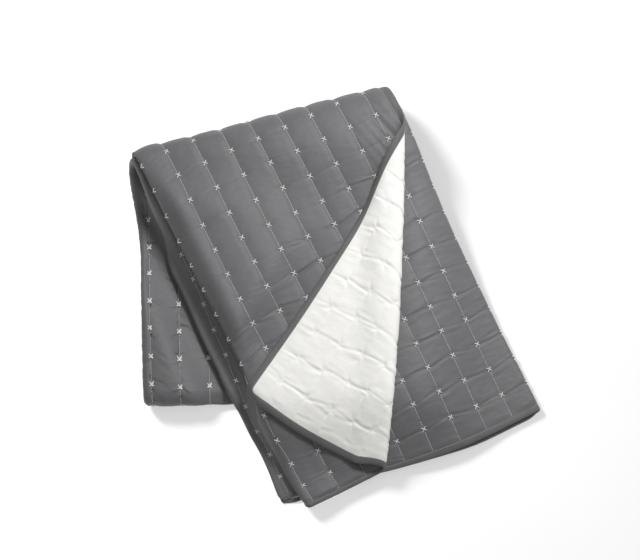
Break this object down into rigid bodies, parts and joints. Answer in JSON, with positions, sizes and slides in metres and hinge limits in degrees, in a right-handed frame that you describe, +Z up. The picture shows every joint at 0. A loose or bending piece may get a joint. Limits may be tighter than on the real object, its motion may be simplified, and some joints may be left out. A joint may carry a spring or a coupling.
{
  "type": "folded quilted coverlet",
  "caption": "Channel-quilted coverlet, folded in thirds and in half, with one corner turned over to show its pale reverse.",
  "frame": {"origin": "under the middle of the folded pile, on the surface that it lies on", "axes": "+Z up through the pile, +X and +Y across it, with the skewed upper fold at +Y"},
  "size_m": [0.9234, 0.9698, 0.1384],
  "materials": {
    "grey_face": "charcoal grey washed cotton sateen, soft sheen",
    "pale_reverse": "off-white washed cotton, matte",
    "grey_binding": "grey cotton binding, matte"
  },
  "bodies": {
    "root": {"quilted_body": "grey_face", "reverse_panel": "pale_reverse", "edge_binding": "grey_binding"}
  },
  "joints": []
}
